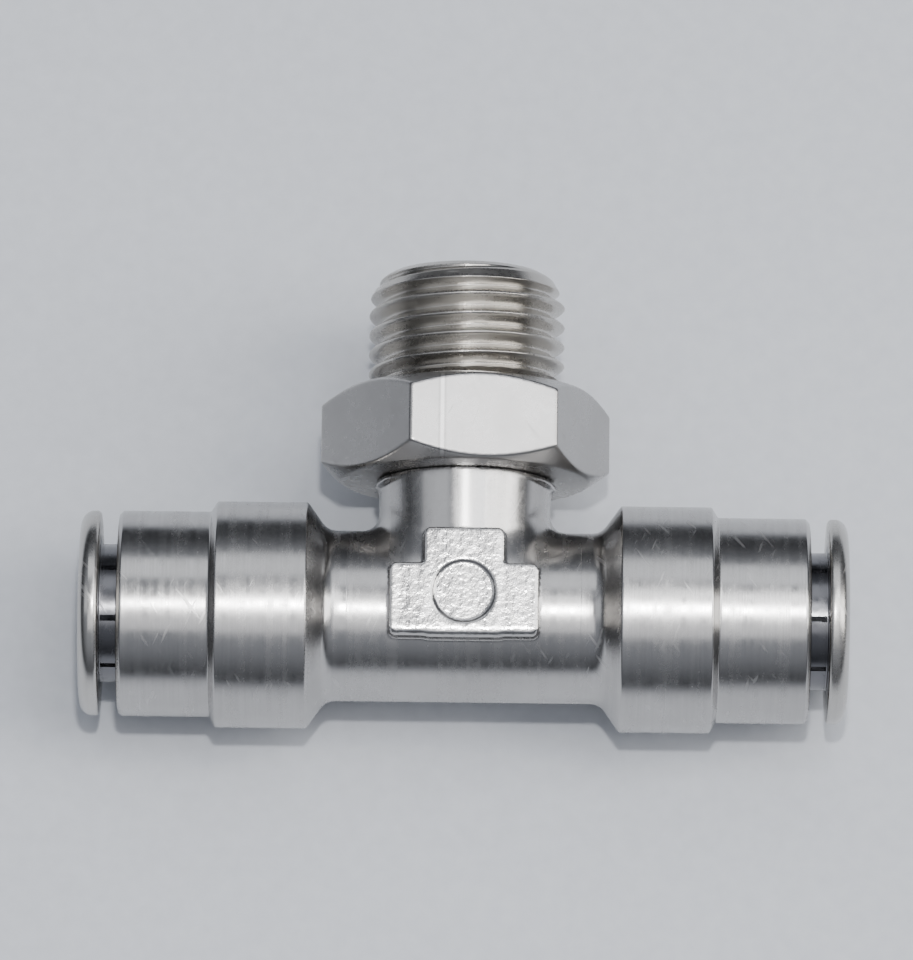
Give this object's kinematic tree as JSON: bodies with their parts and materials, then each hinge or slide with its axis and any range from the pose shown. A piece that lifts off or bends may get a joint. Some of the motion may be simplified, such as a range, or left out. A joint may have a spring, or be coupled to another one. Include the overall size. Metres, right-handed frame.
{
  "type": "push-in swivel branch tee fitting",
  "caption": "Metal push-in tee: a run with a tube port at each end and a swivelling male stem with a hexagon and a parallel thread on the branch.",
  "frame": {"origin": "centre of the seat face, the face of the stem's hexagon that meets the port, on the branch axis", "axes": "+X along the run towards the right tube port, +Y along the branch out through the male thread, +Z out of one forging pad (up when the tee lies on its side)"},
  "size_m": [0.0512, 0.0309, 0.0182],
  "materials": {
    "nickel_body": "nickel plate over turned and forged brass, satin",
    "nickel_stem": "nickel plate over turned brass, satin",
    "nickel_collet": "nickel plate over turned brass, bright",
    "nickel_inner": "nickel plate over turned brass, satin",
    "nbr_rubber": "matt",
    "spring_steel": "drawn wire"
  },
  "bodies": {
    "fitting_body": {"tee_body": "nickel_body", "left_clamp_sleeve": "nickel_inner", "right_clamp_sleeve": "nickel_inner", "left_support_ring": "nickel_inner", "right_support_ring": "nickel_inner", "left_tube_o_ring": "nbr_rubber", "right_tube_o_ring": "nbr_rubber", "stem_retaining_ring": "spring_steel"},
    "stem": {"swivel_stem": "nickel_stem", "stem_o_ring": "nbr_rubber"},
    "left_release": {"left_collet": "nickel_collet"},
    "right_release": {"right_collet": "nickel_collet"}
  },
  "joints": [
    {"name": "stem_swivel", "type": "hinge", "parent": "fitting_body", "child": "stem", "pos_m": [0, -0.0085, 0], "axis": [0, 1, 0], "continuous": true},
    {"name": "left_collet_press", "type": "slide", "parent": "fitting_body", "child": "left_release", "axis": [1, 0, 0], "range_m": [0, 0.0012]},
    {"name": "right_collet_press", "type": "slide", "parent": "fitting_body", "child": "right_release", "axis": [-1, 0, 0], "range_m": [0, 0.0012]}
  ]
}
